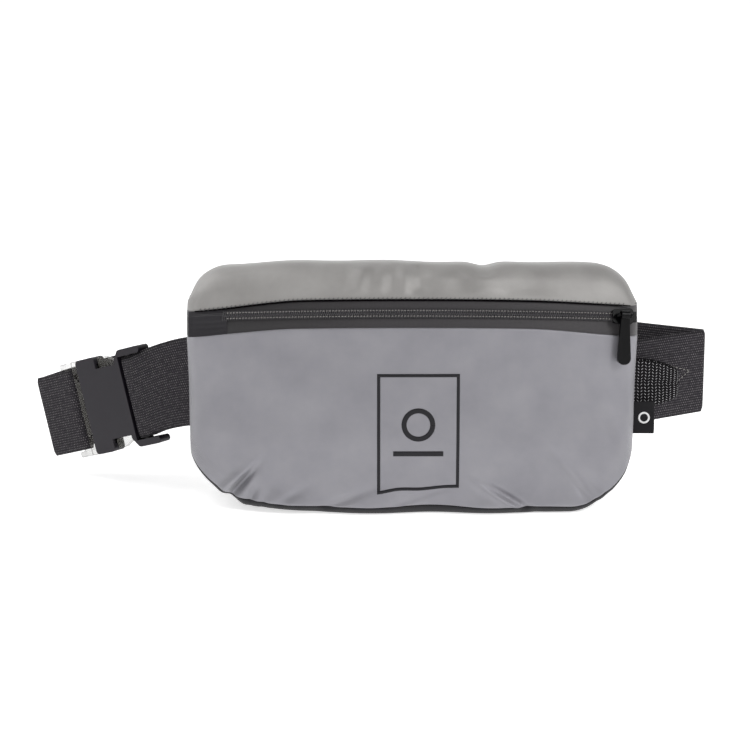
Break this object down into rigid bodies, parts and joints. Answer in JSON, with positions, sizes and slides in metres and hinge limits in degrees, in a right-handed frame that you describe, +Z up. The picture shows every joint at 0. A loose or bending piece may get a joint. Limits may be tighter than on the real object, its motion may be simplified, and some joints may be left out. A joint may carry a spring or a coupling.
{
  "type": "waist bag",
  "caption": "Soft zipped pouch worn at the waist on a wide elastic belt that closes with a side-release buckle.",
  "frame": {"origin": "middle of the flat base, on the surface the bag stands on", "axes": "+X along the bag's width towards the end where the zip closes, -Y out of the front panel, +Z up"},
  "size_m": [0.4105, 0.128, 0.1425],
  "materials": {
    "shell_fabric": "grey coated reflective-look polyester, low sheen",
    "back_fabric": "dark plain-woven polyester",
    "print_film": "thin black heat-pressed film",
    "binding_tape": "woven seam binding",
    "zip_tape": "black woven tape with a thin coating",
    "zip_coil": "black coiled nylon",
    "slider_metal": "gloss black enamel on cast zinc",
    "pull_plastic": "black moulded thermoplastic rubber",
    "webbing": "black ribbed elastic webbing",
    "loop_tape": "black herringbone tape with light flecks",
    "label_cloth": "black woven satin label",
    "buckle_black": "satin black moulded acetal",
    "buckle_clear": "clear moulded plastic"
  },
  "bodies": {
    "bag": {"front_panel": "shell_fabric", "top_panel": "shell_fabric", "back_panel": "back_fabric", "base_panel": "back_fabric", "seam_binding": "binding_tape", "printed_frame": "print_film", "zip_tape_upper": "zip_tape", "zip_tape_lower": "zip_tape", "zip_coil_upper": "zip_coil", "zip_coil_lower": "zip_coil", "zip_end_tab": "zip_tape", "zip_stop": "slider_metal", "strap_left": "webbing", "belt_main": "webbing", "buckle_female": "buckle_black", "side_pull_loop": "loop_tape", "woven_label": "label_cloth"},
    "slider": {"slider_body": "slider_metal", "slider_crown": "slider_metal"},
    "pull": {"zip_pull": "pull_plastic"},
    "male_half": {"buckle_male": "buckle_clear", "belt_buckle_end": "webbing"},
    "upper_latch": {"latch_arm_upper": "buckle_clear"},
    "lower_latch": {"latch_arm_lower": "buckle_clear"}
  },
  "joints": [
    {"name": "zip_travel", "type": "hinge", "parent": "bag", "child": "slider", "pos_m": [0, 0.59733, -0.08756], "axis": [0, -0.309, -0.9511], "range_deg": [0, 18.94]},
    {"name": "pull_swing", "type": "hinge", "parent": "slider", "child": "pull", "pos_m": [0.11809, -0.02271, 0.11391], "axis": [-0.984, -0.1695, 0.0551], "range_deg": [0, 150]},
    {"name": "buckle_release", "type": "slide", "parent": "bag", "child": "male_half", "axis": [-0.8345, 0.4818, -0.2672], "range_m": [0, 0.045], "deforming": ["latch_arm_upper", "latch_arm_lower"]},
    {"name": "upper_latch_press", "type": "hinge", "parent": "male_half", "child": "upper_latch", "pos_m": [-0.20246, 0.06773, 0.06338], "axis": [0.5, 0.866, 0], "range_deg": [0, 11.5], "stiffness_Nm_per_rad": 0.3},
    {"name": "lower_latch_press", "type": "hinge", "parent": "male_half", "child": "lower_latch", "pos_m": [-0.19321, 0.06239, 0.02484], "axis": [-0.5, -0.866, 0], "range_deg": [0, 11.5], "stiffness_Nm_per_rad": 0.3}
  ]
}
